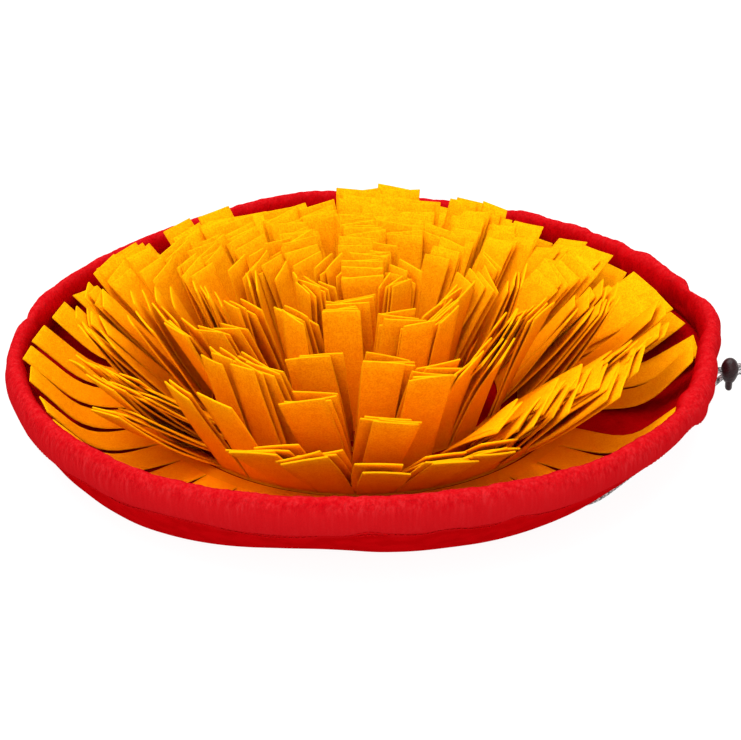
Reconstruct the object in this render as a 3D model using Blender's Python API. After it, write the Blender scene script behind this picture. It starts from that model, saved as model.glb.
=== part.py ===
"""Snuffle mat: a shallow drawstring bowl of nylon cloth, filled with rings of sewn-on felt strips.

Run with: blender --background --python part.py
The origin is on the ground under the middle of the bowl. +Z is up, and the front is towards -Y.
"""
import math
import random
from collections import namedtuple

import bmesh
import bpy
from mathutils import Vector

MM = 0.001

# Bowl cloth, hem channel and floor
CLOTH = 2.2 * MM              # two layers of nylon with their interlining
HEM_HALF_WIDTH = 6.5 * MM     # the gathered hem channel, across
BOWL_STEPS = 72               # sections around the bowl
WALL_STEPS = 5                # steps from the foot of the wall to the hem
HEM_STEPS = 11                # faces around the hem channel
FLOOR_RINGS = (0.35, 0.75)    # rings of the flat floor, as a share of the foot's radius
CLEARANCE = 0.3 * MM          # between pieces that touch

# Felt strips
STRIP_LENGTH = 84 * MM
STRIP_WIDTH = 26 * MM
FELT = 1.8 * MM
BACKING_HEIGHT = 1.5 * MM
SIDE_GAP = 0.7 * MM           # between neighbouring strips of a ring
CORE_RADIUS = 11 * MM         # innermost ring of roots
RING_PITCH = 12.5 * MM
FLAP_WIDTH = 23.5 * MM        # the outermost strips, which lie in the bowl
FLAP_MISSING = 34             # the place in that ring without a strip
FLAP_HEEL = 8 * MM            # how far its sewn root reaches inwards
FLAP_ROOT_LEAN = 87.0         # degrees: its strips start flat on the floor
FLAP_BEND = 0.45              # where along their length they turn up
FLAP_GAP = 3.3 * MM           # between their tips and the hem
CENTRE_STRIPS = ((-4.0, -5.0), (0.0, 1.0), (4.0, 6.0))  # the middle's strips: y in mm, and lean in degrees
CENTRE_ROOT_WIDTH = 12 * MM
CENTRE_TIP_WIDTH = 26 * MM
PATH_STEPS = 24               # steps in working out a strip's curve
CORD_STEP = 3.5 * MM          # between the points of a cord

# Drawcord and cord lock
CORD = 2.8 * MM
CORD_SPREAD = 1.6 * MM        # each cord's distance from the lock's middle
LOCK_AZIMUTH = -8.5           # degrees
LOCK_RADIUS = 224.2 * MM
LOCK_HEIGHT = 30 * MM
BARREL = Vector((10.6, 12.0, 17.0)) * MM
BARREL_TAPER = 0.12           # how much slimmer the barrel is below
PLUNGER_WIDTH = 4.4 * MM
PLUNGER_DEPTH = 8.0 * MM
PLUNGER_FIT = 0.35 * MM       # running clearance in the bore
BUTTON_OUT = 3.6 * MM         # how far the button stands out of the barrel
BUTTON_TRAVEL = 3.0 * MM

# The drawcord's free ends, in millimetres. Each leaves the slit in the hem, goes through the lock and
# turns back under the hem. By the lock a point is (out, along, height): out is the distance from the
# mat's middle along LOCK_AZIMUTH, and along is across it. On the ground it is (degrees, radius, height).
HEM_SLIT = Vector((13.0, 7.0, 5.6)) * MM
HEM_SLIT_PLACE = Vector((217.2, 0.0, 30.9)) * MM
LOCK_ROUTE_A = (
    (211.6, -1.6, 31.4), (214.8, -1.6, 30.7), (217.4, -1.6, 30.1), (220.0, -1.6, 30.0), (224.5, -1.6, 30.0),
    (228.8, -1.6, 30.0), (233.4, -0.4, 30.0), (236.8, 3.0, 29.8), (238.0, 7.6, 29.3), (236.8, 12.2, 28.4),
    (233.4, 15.6, 26.9), (228.8, 16.8, 24.6), (223.0, 16.4, 19.8), (216.8, 15.2, 13.8), (210.2, 12.8, 8.2),
    (203.6, 8.4, 3.7), (198.4, 2.6, 1.9),
)
GROUND_ROUTE_A = (
    (-10.3, 196.0, 1.6), (-14, 194.4, 1.6), (-20, 191.3, 1.6), (-26, 187.4, 1.6), (-32, 183.6, 1.6),
    (-38, 181.8, 1.6), (-42.6, 181.9, 1.6),
)
LOCK_ROUTE_B = (
    (211.6, 1.6, 31.4), (214.8, 1.6, 30.7), (217.4, 1.6, 30.1), (220.0, 1.6, 30.0), (224.5, 1.6, 30.0),
    (228.8, 1.6, 30.0), (231.8, 2.4, 30.0), (234.0, 4.6, 29.8), (234.8, 7.6, 29.3), (234.0, 10.6, 28.5),
    (231.8, 12.8, 27.2), (228.8, 13.6, 25.2), (223.0, 13.1, 20.4), (217.0, 11.6, 14.8), (210.8, 8.7, 9.4),
    (205.3, 4.2, 4.5), (201.6, -2.0, 2.1),
)
GROUND_ROUTE_B = (
    (-11.1, 199.7, 1.6), (-15, 198.0, 1.6), (-20.5, 194.9, 1.6), (-26.5, 190.8, 1.6), (-32, 187.0, 1.6),
    (-38, 185.2, 1.6), (-43, 185.2, 1.6), (-46, 184.6, 1.6), (-48.6, 182.4, 1.6),
)

# The bowl around its rim: degrees from +X, and millimetres. radius and height are those of the hem
# channel's middle, foot is the radius at which the wall leaves the ground, roll is half the hem
# channel's height, and flap is the length of the outermost strips.
Rim = namedtuple("Rim", "azimuth radius height foot roll flap")
RIM = (
    Rim(-8, 210.0, 36.0, 178, 10.0, 80), Rim(4, 218.5, 34.5, 180, 11.5, 79),
    Rim(14, 217.5, 35.5, 180, 11.5, 79), Rim(25, 213.5, 36.0, 180, 11.5, 79),
    Rim(40, 212.0, 36.0, 180, 11.5, 79), Rim(60, 212.0, 36.5, 180, 11.5, 79),
    Rim(80, 213.5, 36.8, 180, 11.5, 80), Rim(100, 214.5, 42.5, 180, 11.5, 80),
    Rim(120, 215.0, 37.0, 180, 11.5, 80), Rim(140, 217.0, 32.5, 182, 11.5, 81),
    Rim(160, 219.0, 30.5, 185, 11.5, 83), Rim(180, 216.0, 29.8, 187, 11.7, 85),
    Rim(197, 211.5, 34.5, 191, 12.5, 84), Rim(220, 212.0, 39.2, 194, 12.3, 82),
    Rim(240, 213.5, 42.0, 187, 12.0, 80), Rim(260, 214.5, 44.5, 173, 11.5, 78),
    Rim(280, 214.5, 46.0, 178, 11.5, 78), Rim(300, 214.5, 43.5, 178, 10.5, 78),
    Rim(320, 213.0, 42.5, 172, 9.0, 79), Rim(338, 210.5, 40.0, 175, 8.6, 80),
)

# Clumps of strips. azimuth is where a clump begins. outer and inner are how far its outer bundle and
# its ring 7 lean out from the vertical, curl is how much more the outer strips lean at the root,
# squeeze is how much the clump's strips close up sideways, and bundles counts the rings of each bundle.
Clump = namedtuple("Clump", "azimuth outer inner curl squeeze bundles")
CLUMPS = (
    Clump(-11, 50, 36, 4, 0.16, (1, 3, 3, 3)), Clump(6, 61, 38, 4, 0.18, (2, 3, 3, 2)),
    Clump(26, 62, 40, 4, 0.18, (3, 2, 3, 2)), Clump(44, 58, 36, 2, 0.16, (1, 4, 2, 3)),
    Clump(64, 57, 35, 0, 0.14, (2, 3, 2, 3)), Clump(77, 45, 36, 0, 0.04, (5, 3, 2)),
    Clump(97, 54, 33, 0, 0.10, (2, 4, 2, 2)), Clump(119, 42, 32, 0, 0.10, (2, 3, 3, 2)),
    Clump(137, 57, 32, 4, 0.16, (3, 2, 3, 2)), Clump(151, 38, 29, 2, 0.12, (2, 1, 2, 2, 3)),
    Clump(171, 40, 34, 4, 0.10, (2, 1, 1, 2, 1, 3)), Clump(197, 48, 38, 12, 0.18, (3, 2, 2, 3)),
    Clump(213, 55, 35, 14, 0.16, (4, 2, 2, 2)), Clump(227, 31, 27, 0, 0.14, (1, 4, 3, 2)),
    Clump(247, 49, 34, 0, 0.12, (2, 2, 2, 4)), Clump(267, 51, 31, 0, 0.06, (1, 2, 3, 4)),
    Clump(277, 53, 28, 0, 0.14, (2, 3, 3, 2)), Clump(297, 43, 34, 2, 0.16, (3, 2, 3, 2)),
    Clump(317, 51, 37, 6, 0.16, (4, 2, 2, 2)), Clump(337, 46, 36, 4, 0.12, (3, 3, 2, 2)),
)

# Zones of rings that share their columns, from the outside. steps is a strip's number of segments.
Zone = namedtuple("Zone", "rings columns turn steps")
ZONES = (
    Zone((10,), 36, 2.0, 4), Zone((9, 8), 36, 2.0, 3), Zone((7, 6), 27, 5.0, 3),
    Zone((5, 4), 20, 3.0, 2), Zone((3, 2), 13, 9.0, 2), Zone((1, 0), 6, 20.0, 2),
)
FLAP_RING = 10
INNER_RING = 7                # the ring whose lean a clump states as inner
OVERLAP_MARGIN = 3.0          # degrees
OUTER_PULL = 4                # power with which the outer lean fades inwards
BUNDLE_FAN = 4.4              # degrees by which each ring further in closes up to its bundle
LEAN_JITTER = 1.2             # degrees
LENGTH_JITTER = 2.5 * MM
PAGE_GAP = 3.4 * MM           # least pitch of two strips' tips
SEED = 11


def mix(first, second, share):
    """The value a share of the way from first to second."""
    return first + (second - first) * share


def smooth(share):
    """Ease from 0 to 1."""
    share = min(1.0, max(0.0, share))
    return share * share * (3 - 2 * share)


def around(rows, azimuth, column):
    """A table's column at an azimuth in degrees, as a smooth closed curve through its rows."""
    turns = (azimuth - rows[0].azimuth) % 360 + rows[0].azimuth
    count = len(rows)
    last = max(i for i, row in enumerate(rows) if row.azimuth <= turns + 1e-9)
    here = rows[last].azimuth
    after = rows[(last + 1) % count].azimuth + (360 if last + 1 == count else 0)
    part = (turns - here) / (after - here)
    a, b, c, d = (getattr(rows[(last + step) % count], column) for step in (-1, 0, 1, 2))
    return 0.5 * (2 * b + (c - a) * part + (2 * a - 5 * b + 4 * c - d) * part ** 2
                  + (3 * b - a - 3 * c + d) * part ** 3)


def rim_at(azimuth):
    """The hem's radius and height, the foot's radius and half the hem's height, in metres."""
    return tuple(around(RIM, azimuth, column) * MM for column in ("radius", "height", "foot", "roll"))


def wall_point(azimuth, share):
    """Radius, height and slope of the wall's outer face, from foot (0) to hem (1)."""
    radius, height, foot, roll = rim_at(azimuth)
    start = Vector((foot, 0))
    end = Vector((radius + 0.15 * HEM_HALF_WIDTH, height - 0.93 * roll))
    bend = Vector((mix(foot, end.x, 0.38), 0.10 * end.y))
    point = start.lerp(bend, share).lerp(bend.lerp(end, share), share)
    slope = (bend - start).lerp(end - bend, share).normalized()
    return point, slope


def bowl_section(azimuth):
    """Points of the bowl's cross-section as (radius, height), from the floor's underside to its top."""
    radius, height, foot, roll = rim_at(azimuth)
    outer = [Vector((foot * share, 0)) for share in FLOOR_RINGS]
    inner = [Vector((foot * share, CLOTH)) for share in FLOOR_RINGS]
    for step in range(WALL_STEPS):
        point, slope = wall_point(azimuth, step / (WALL_STEPS - 1))
        outer.append(point)
        inner.append(point + Vector((-slope.y, slope.x)) * CLOTH)
    pucker = 0.6 * MM * math.sin(math.radians(azimuth) * 18)
    hem = []
    for step in range(HEM_STEPS):
        angle = math.radians(mix(-62, 235, step / (HEM_STEPS - 1)))
        hem.append(Vector((radius + (HEM_HALF_WIDTH + pucker) * math.cos(angle),
                           height + (roll + 0.5 * pucker) * math.sin(angle))))
    return outer + hem + inner[::-1]


def new_object(name, mesh, material, collection):
    """Link a mesh as a named object with its material."""
    thing = bpy.data.objects.new(name, mesh)
    mesh.materials.clear()
    mesh.materials.append(material)
    collection.objects.link(thing)
    return thing


def finish_mesh(bm, name):
    """Turn a closed bmesh's faces outwards and return it as a mesh."""
    bmesh.ops.recalc_face_normals(bm, faces=bm.faces)
    mesh = bpy.data.meshes.new(name)
    bm.to_mesh(mesh)
    bm.free()
    return mesh


def make_bowl(material, collection):
    """The bowl's cloth with its gathered hem channel: one closed loft around the middle."""
    bm = bmesh.new()
    low = bm.verts.new((0, 0, 0))
    high = bm.verts.new((0, 0, CLOTH))
    loops = []
    for step in range(BOWL_STEPS):
        azimuth = 360 * step / BOWL_STEPS
        turn = math.radians(azimuth)
        loops.append([bm.verts.new((p.x * math.cos(turn), p.x * math.sin(turn), p.y))
                      for p in bowl_section(azimuth)])
    for step, loop in enumerate(loops):
        after = loops[(step + 1) % BOWL_STEPS]
        bm.faces.new((low, after[0], loop[0]))
        bm.faces.new((high, loop[-1], after[-1]))
        for i in range(len(loop) - 1):
            bm.faces.new((loop[i], after[i], after[i + 1], loop[i + 1]))
    return new_object("bowl_cloth", finish_mesh(bm, "bowl_cloth"), material, collection)


def clump_at(azimuth):
    """The clump at an azimuth, with the azimuth of its middle."""
    turns = (azimuth - CLUMPS[0].azimuth) % 360 + CLUMPS[0].azimuth
    index = max(i for i, clump in enumerate(CLUMPS) if clump.azimuth <= turns + 1e-9)
    after = CLUMPS[index + 1].azimuth if index + 1 < len(CLUMPS) else CLUMPS[0].azimuth + 360
    middle = 0.5 * (CLUMPS[index].azimuth + after)
    return CLUMPS[index], middle + azimuth - turns


def bundled_lean(ring, clump):
    """A standing strip's lean in degrees, from its clump's bundles."""
    outermost = FLAP_RING - 1
    for count in clump.bundles:
        innermost = outermost - count + 1
        if ring >= innermost:
            break
        outermost = innermost - 1
    centre = 0.5 * (outermost + innermost)
    spread = clump.inner / (INNER_RING * RING_PITCH + CORE_RADIUS)
    lean = spread * (centre * RING_PITCH + CORE_RADIUS)
    edge = spread * ((FLAP_RING - 1) * RING_PITCH + CORE_RADIUS)
    lean += (clump.outer - edge) * (centre / (FLAP_RING - 1)) ** OUTER_PULL
    if outermost == FLAP_RING - 1:
        lean = clump.outer
    return lean + (centre - ring) * BUNDLE_FAN


def plan_strips():
    """Each strip's azimuth, lean and length by ring, so that none leans into the ring outside it."""
    dice = random.Random(SEED)
    plan = {}
    outside = []
    for zone in ZONES:
        pitch = 360 / zone.columns
        for ring in zone.rings:
            rows = []
            for column in range(zone.columns):
                azimuth = zone.turn + pitch * column
                lean = bundled_lean(ring, clump_at(azimuth)[0]) + dice.uniform(-LEAN_JITTER, LEAN_JITTER)
                for other, far in outside:
                    apart = abs((azimuth - other + 180) % 360 - 180)
                    if apart < 0.5 * pitch + OVERLAP_MARGIN:
                        room = RING_PITCH * math.cos(math.radians(far)) - PAGE_GAP
                        lean = min(lean, far + math.degrees(room / STRIP_LENGTH))
                rows.append((azimuth, lean, dice.uniform(-LENGTH_JITTER, 0)))
            plan[ring] = rows
            if ring < FLAP_RING:
                outside = [(azimuth, lean) for azimuth, lean, _ in rows]
    return plan


def strip_path(ring, azimuth, lean, length, floor):
    """A strip's middle line: a list of (radius, height, azimuth, lean) along its length."""
    clump, middle = clump_at(azimuth)
    points = []
    here = Vector((CORE_RADIUS + RING_PITCH * ring, floor))
    for i in range(PATH_STEPS + 1):
        share = i / PATH_STEPS
        outness = ring / (FLAP_RING - 1)
        leaning = lean + clump.curl * outness ** 3 * (0.6 - 1.2 * share)
        if ring == FLAP_RING:
            leaning = flap_lean(azimuth, share)
        turned = azimuth + (middle - azimuth) * clump.squeeze * share ** 1.3
        points.append((here.x, here.y, turned, leaning))
        tilt = math.radians(leaning)
        here = here + Vector((math.sin(tilt), math.cos(tilt))) * length / PATH_STEPS
    return points


def strip_length(ring, azimuth):
    """A strip's length, in metres. Those of the outermost ring have their own."""
    if ring == FLAP_RING:
        return around(RIM, azimuth, "flap") * MM
    return STRIP_LENGTH


def flap_lean(azimuth, share):
    """Lean of an outermost strip: along the floor, then up to the hem's inner side."""
    length = strip_length(FLAP_RING, azimuth)
    bend = CORE_RADIUS + RING_PITCH * FLAP_RING + FLAP_BEND * length
    reach = rim_at(azimuth)[0] - HEM_HALF_WIDTH - FLAP_GAP - bend
    tip_lean = math.degrees(math.asin(reach / ((1 - FLAP_BEND) * length)))
    return mix(FLAP_ROOT_LEAN, tip_lean, smooth(2 * (share - FLAP_BEND) + 0.5))


def section(points, share, width, half_thickness):
    """Four corners of a strip across its width: inner and outer, at the start and end of the turn."""
    index = share * PATH_STEPS
    radius, height, azimuth, leaning = points[round(index)]
    turn = math.radians(azimuth)
    out = Vector((math.cos(turn), math.sin(turn), 0))
    across = Vector((-math.sin(turn), math.cos(turn), 0))
    tilt = math.radians(leaning)
    face = Vector((0, 0, math.sin(tilt))) - out * math.cos(tilt)
    centre = out * radius + Vector((0, 0, height))
    side = across * width / 2
    lift = face * half_thickness
    return (centre - side + lift, centre - side - lift, centre + side - lift, centre + side + lift)


def make_ring(ring, zone, rows, material, collection):
    """One ring of strips, fused at their roots to a narrow backing that lies on the floor."""
    radius = CORE_RADIUS + RING_PITCH * ring
    base = CLOTH + CLEARANCE
    top = base + BACKING_HEIGHT
    half = FELT / 2
    heel = FLAP_HEEL if ring == FLAP_RING else 0
    widest = FLAP_WIDTH if ring == FLAP_RING else STRIP_WIDTH
    pitch = 360 / zone.columns
    bm = bmesh.new()
    joints = []
    for azimuth, _, _ in rows:
        turn = math.radians(azimuth - 0.5 * pitch)
        out = Vector((math.cos(turn), math.sin(turn), 0))
        inside = radius - half - heel
        corners = ((inside, top), (radius + half, top), (radius + half, base), (inside, base))
        joints.append([bm.verts.new(out * r + Vector((0, 0, z))) for r, z in corners])
    for column, (azimuth, lean, spare) in enumerate(rows):
        start, end = joints[column], joints[(column + 1) % len(rows)]
        for i in (1, 2, 3):
            bm.faces.new((start[i], start[(i + 1) % 4], end[(i + 1) % 4], end[i]))
        if ring == FLAP_RING and column == FLAP_MISSING:
            bm.faces.new((start[0], start[1], end[1], end[0]))
            continue
        length = strip_length(ring, azimuth) + spare
        points = strip_path(ring, azimuth, lean, length, top)
        squeeze = clump_at(azimuth)[0].squeeze
        loop = [start[0], start[1], end[1], end[0]]
        for step in range(1, zone.steps + 1):
            share = step / zone.steps
            here = points[round(share * PATH_STEPS)][0]
            room = math.radians(pitch) * here * (1 - squeeze * share ** 1.3) - SIDE_GAP
            corners = section(points, share, min(widest, room), half)
            after = [bm.verts.new(corner) for corner in corners]
            for i in range(4):
                bm.faces.new((loop[i], loop[(i + 1) % 4], after[(i + 1) % 4], after[i]))
            loop = after
        bm.faces.new(loop)
    name = f"felt_ring_{FLAP_RING - ring + 1:02d}"
    new_object(name, finish_mesh(bm, name), material, collection)


def make_centre(material, collection):
    """The middle's three strips, fused at their roots: a comb across the middle."""
    base = CLOTH + CLEARANCE
    top = base + BACKING_HEIGHT
    half = FELT / 2
    profile = [(CENTRE_STRIPS[0][0] * MM - half, base), (CENTRE_STRIPS[-1][0] * MM + half, base)]
    for place, lean in reversed(CENTRE_STRIPS):
        root = place * MM
        tilt = math.radians(lean)
        tip = Vector((root + STRIP_LENGTH * math.sin(tilt), top + STRIP_LENGTH * math.cos(tilt)))
        side = Vector((half * math.cos(tilt), -half * math.sin(tilt)))
        profile += [(root + half, top), tuple(tip + side), tuple(tip - side), (root - half, top)]
    bm = bmesh.new()
    sides = []
    for sign in (-1, 1):
        verts = []
        for y, z in profile:
            width = mix(CENTRE_ROOT_WIDTH, CENTRE_TIP_WIDTH, (z - base) / STRIP_LENGTH)
            verts.append(bm.verts.new((sign * width / 2, y, z)))
        sides.append(verts)
        bm.faces.new(verts)
    for i in range(len(profile)):
        j = (i + 1) % len(profile)
        bm.faces.new((sides[0][i], sides[0][j], sides[1][j], sides[1][i]))
    new_object("felt_centre", finish_mesh(bm, "felt_centre"), material, collection)


def make_material(name, colour, roughness):
    """A plain finish."""
    material = bpy.data.materials.new(name)
    material.use_nodes = True
    shader = material.node_tree.nodes["Principled BSDF"]
    shader.inputs["Base Color"].default_value = (*colour, 1)
    shader.inputs["Roughness"].default_value = roughness
    material.diffuse_color = (*colour, 1)
    return material


def make_tube(name, route, radius, material, collection):
    """A cord along a smooth curve through its route's points."""
    points = []
    count = len(route)
    for i in range(count - 1):
        a, b, c, d = (Vector(route[min(max(i + step, 0), count - 1)]) for step in (-1, 0, 1, 2))
        steps = max(1, round((c - b).length / CORD_STEP))
        for step in range(steps):
            t = step / steps
            points.append(0.5 * (2 * b + (c - a) * t + (2 * a - 5 * b + 4 * c - d) * t ** 2
                                 + (3 * b - a - 3 * c + d) * t ** 3))
    points.append(Vector(route[-1]))
    curve = bpy.data.curves.new(name, "CURVE")
    curve.dimensions = "3D"
    curve.bevel_depth = radius
    curve.bevel_resolution = 2
    curve.use_fill_caps = True
    spline = curve.splines.new("POLY")
    spline.points.add(len(points) - 1)
    for place, point in zip(spline.points, points):
        place.co = (*point, 1)
    curve.materials.append(material)
    thing = bpy.data.objects.new(name, curve)
    collection.objects.link(thing)


def polar(azimuth, radius, height):
    """A point from its azimuth in degrees."""
    turn = math.radians(azimuth)
    return Vector((radius * math.cos(turn), radius * math.sin(turn), height))


def cord_route(by_lock, on_ground):
    """A cord's route in world space."""
    out = polar(LOCK_AZIMUTH, 1, 0)
    along = polar(LOCK_AZIMUTH + 90, 1, 0)
    up = Vector((0, 0, 1))
    points = [out * far + along * side + up * height for far, side, height in by_lock]
    points += [polar(*place) for place in on_ground]
    return [point * MM for point in points]


def cut(thing, cutter, name):
    """Cut one object out of another."""
    modifier = thing.modifiers.new(name, "BOOLEAN")
    modifier.operation = "DIFFERENCE"
    modifier.object = cutter
    cutter.hide_render = True
    cutter.display_type = "WIRE"


def make_cutter(name, bm, collection):
    """A named cutter from a bmesh."""
    mesh = finish_mesh(bm, name)
    thing = bpy.data.objects.new(name, mesh)
    collection.objects.link(thing)
    return thing


def box_mesh(size, centre):
    """A box as a bmesh."""
    bm = bmesh.new()
    bmesh.ops.create_cube(bm, size=1)
    for vert in bm.verts:
        vert.co = Vector([vert.co[i] * size[i] + centre[i] for i in range(3)])
    return bm


def rod_mesh(width, depth, low, high):
    """An upright oval rod as a bmesh."""
    bm = bmesh.new()
    bmesh.ops.create_cone(bm, cap_ends=True, segments=20, radius1=0.5, radius2=0.5, depth=1)
    for vert in bm.verts:
        x, y, z = vert.co
        vert.co = Vector((x * width, y * depth, mix(low, high, z + 0.5)))
    return bm


def lock_frame():
    """An empty at the middle of the cord lock, +X pointing out of the bowl."""
    turn = math.radians(LOCK_AZIMUTH)
    frame = bpy.data.objects.new("cord_lock_frame", None)
    frame.location = (LOCK_RADIUS * math.cos(turn), LOCK_RADIUS * math.sin(turn), LOCK_HEIGHT)
    frame.rotation_euler = (0, 0, turn)
    return frame


def make_lock(barrel_material, button_material, collection, cutters):
    """The cord lock's barrel with its bore and cord hole, and its sliding button with a window."""
    frame = lock_frame()
    collection.objects.link(frame)
    hole = CORD + 2 * CLEARANCE
    spread = 2 * CORD_SPREAD + hole

    bm = bmesh.new()
    bmesh.ops.create_uvsphere(bm, u_segments=24, v_segments=12, radius=0.5)
    for vert in bm.verts:
        x, y, z = vert.co
        slim = 1 + BARREL_TAPER * 2 * z
        vert.co = Vector((x * BARREL.x * slim, y * BARREL.y * slim, z * BARREL.z))
    barrel = new_object("cord_lock_barrel", finish_mesh(bm, "cord_lock_barrel"), barrel_material, collection)
    barrel.data.shade_smooth()
    bore_rod = rod_mesh(PLUNGER_WIDTH + 2 * PLUNGER_FIT, PLUNGER_DEPTH + 2 * PLUNGER_FIT,
                        -BARREL.z, 0.36 * BARREL.z)
    bore = make_cutter("bore_cutter", bore_rod, cutters)
    eye = make_cutter("eye_cutter", box_mesh((2 * BARREL.x, spread, hole), (0, 0, 0)), cutters)
    cut(barrel, bore, "bore")
    cut(barrel, eye, "eye")

    low = -BARREL.z / 2 - BUTTON_OUT
    bm = rod_mesh(PLUNGER_WIDTH, PLUNGER_DEPTH, low, CORD / 2 + CLEARANCE + 1.2 * MM)
    button = new_object("cord_lock_button", finish_mesh(bm, "cord_lock_button"), button_material, collection)
    window_low = -CORD / 2 - CLEARANCE - BUTTON_TRAVEL
    window_high = CORD / 2 + CLEARANCE
    window = make_cutter("window_cutter", box_mesh((2 * PLUNGER_WIDTH, spread, window_high - window_low),
                                                   (0, 0, (window_low + window_high) / 2)), cutters)
    cut(button, window, "window")
    for thing in (barrel, button, bore, eye, window):
        thing.parent = frame


def main():
    """Build the whole mat."""
    for thing in list(bpy.data.objects):
        bpy.data.objects.remove(thing, do_unlink=True)
    collection = bpy.data.collections.new("snuffle_mat")
    cutters = bpy.data.collections.new("cutters")
    for group in (collection, cutters):
        bpy.context.scene.collection.children.link(group)
    nylon = make_material("red_nylon", (0.5, 0.002, 0.004), 0.45)
    felt = make_material("yellow_felt", (0.91, 0.31, 0.002), 0.95)
    bowl = make_bowl(nylon, collection)
    slit = make_cutter("slit_cutter", box_mesh(HEM_SLIT, HEM_SLIT_PLACE), cutters)
    slit.rotation_euler = (0, 0, math.radians(LOCK_AZIMUTH))
    cut(bowl, slit, "slit")
    cord = make_material("braided_cord", (0.45, 0.43, 0.42), 0.8)
    plastic = make_material("lock_plastic", (0.02, 0.012, 0.012), 0.35)
    make_lock(plastic, plastic, collection, cutters)
    routes = {"drawcord_end_a": (LOCK_ROUTE_A, GROUND_ROUTE_A),
              "drawcord_end_b": (LOCK_ROUTE_B, GROUND_ROUTE_B)}
    for name, (by_lock, on_ground) in routes.items():
        make_tube(name, cord_route(by_lock, on_ground), CORD / 2, cord, collection)
    plan = plan_strips()
    for zone in ZONES:
        for ring in zone.rings:
            make_ring(ring, zone, plan[ring], felt, collection)
    make_centre(felt, collection)


main()
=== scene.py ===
"""Looks of the snuffle mat: gathered nylon bowl, felt strips, braided drawcord and cord lock.

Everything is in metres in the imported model's frame. The front is towards -Y.
"""
import random
from collections import namedtuple
from math import asin, cos, degrees, exp, pi, radians, sin

import bmesh
import bpy
from mathutils import Matrix, Vector, noise


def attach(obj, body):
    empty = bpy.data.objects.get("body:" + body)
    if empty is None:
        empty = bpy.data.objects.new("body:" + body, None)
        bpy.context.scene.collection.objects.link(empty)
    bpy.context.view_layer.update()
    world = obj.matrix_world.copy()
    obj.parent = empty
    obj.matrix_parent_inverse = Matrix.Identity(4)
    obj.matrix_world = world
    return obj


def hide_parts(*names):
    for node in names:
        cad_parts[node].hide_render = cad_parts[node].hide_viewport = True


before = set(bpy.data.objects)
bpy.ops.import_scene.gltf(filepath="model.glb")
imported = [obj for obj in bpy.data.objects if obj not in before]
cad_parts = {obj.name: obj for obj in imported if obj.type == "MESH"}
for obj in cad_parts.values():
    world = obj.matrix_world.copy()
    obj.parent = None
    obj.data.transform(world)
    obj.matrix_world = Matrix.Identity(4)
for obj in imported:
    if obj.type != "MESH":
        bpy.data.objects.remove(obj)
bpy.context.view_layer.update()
MAT = "mat"
BUTTON = "button"
MM = 0.001

# ---- shapes shared with the solids
CLOTH = 2.2 * MM
HEM_HALF_WIDTH = 6.5 * MM
CLEARANCE = 0.3 * MM
STRIP_LENGTH = 84 * MM
STRIP_WIDTH = 26 * MM
FELT = 1.8 * MM
BACKING_HEIGHT = 1.5 * MM
CENTRE_STRIPS = ((-4, -5), (0, 1), (4, 6))  # millimetres from the middle, degrees
CENTRE_ROOT_WIDTH = 12 * MM
CENTRE_TIP_WIDTH = 26 * MM
SIDE_GAP = 0.7 * MM
CORE_RADIUS = 11 * MM
RING_PITCH = 12.5 * MM
FLAP_ROOT_LEAN = 87.0
FLAP_WIDTH = 23.5 * MM
FLAP_MISSING = 34
FLAP_HEEL = 8 * MM
FLAP_BEND = 0.45
FLAP_GAP = 3.3 * MM
PATH_STEPS = 24
CORD = 2.8 * MM
CORD_SPREAD = 1.6 * MM
LOCK_AZIMUTH = -8.5
LOCK_RADIUS = 224.2 * MM
LOCK_HEIGHT = 30 * MM
BARREL = Vector((10.6, 12.0, 17.0)) * MM
BARREL_TAPER = 0.12
PLUNGER_WIDTH = 4.4 * MM
PLUNGER_DEPTH = 8.0 * MM
PLUNGER_FIT = 0.35 * MM
BUTTON_OUT = 3.6 * MM
BUTTON_TRAVEL = 3.0 * MM

# The bowl around its rim: degrees from +X, and in millimetres the hem's radius and height, the floor's
# radius, half the hem's height, and an outermost strip's length.
Rim = namedtuple("Rim", "azimuth radius height foot roll flap")
RIM = tuple(Rim(*row) for row in (
    (-8, 210, 36, 178, 10, 80), (4, 218.5, 34.5, 180, 11.5, 79), (14, 217.5, 35.5, 180, 11.5, 79),
    (25, 213.5, 36, 180, 11.5, 79), (40, 212, 36, 180, 11.5, 79), (60, 212, 36.5, 180, 11.5, 79),
    (80, 213.5, 36.8, 180, 11.5, 80), (100, 214.5, 42.5, 180, 11.5, 80), (120, 215, 37, 180, 11.5, 80),
    (140, 217, 32.5, 182, 11.5, 81), (160, 219, 30.5, 185, 11.5, 83), (180, 216, 29.8, 187, 11.7, 85),
    (197, 211.5, 34.5, 191, 12.5, 84), (220, 212, 39.2, 194, 12.3, 82), (240, 213.5, 42, 187, 12, 80),
    (260, 214.5, 44.5, 173, 11.5, 78), (280, 214.5, 46, 178, 11.5, 78), (300, 214.5, 43.5, 178, 10.5, 78),
    (320, 213, 42.5, 172, 9, 79), (338, 210.5, 40, 175, 8.6, 80),
))

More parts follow.
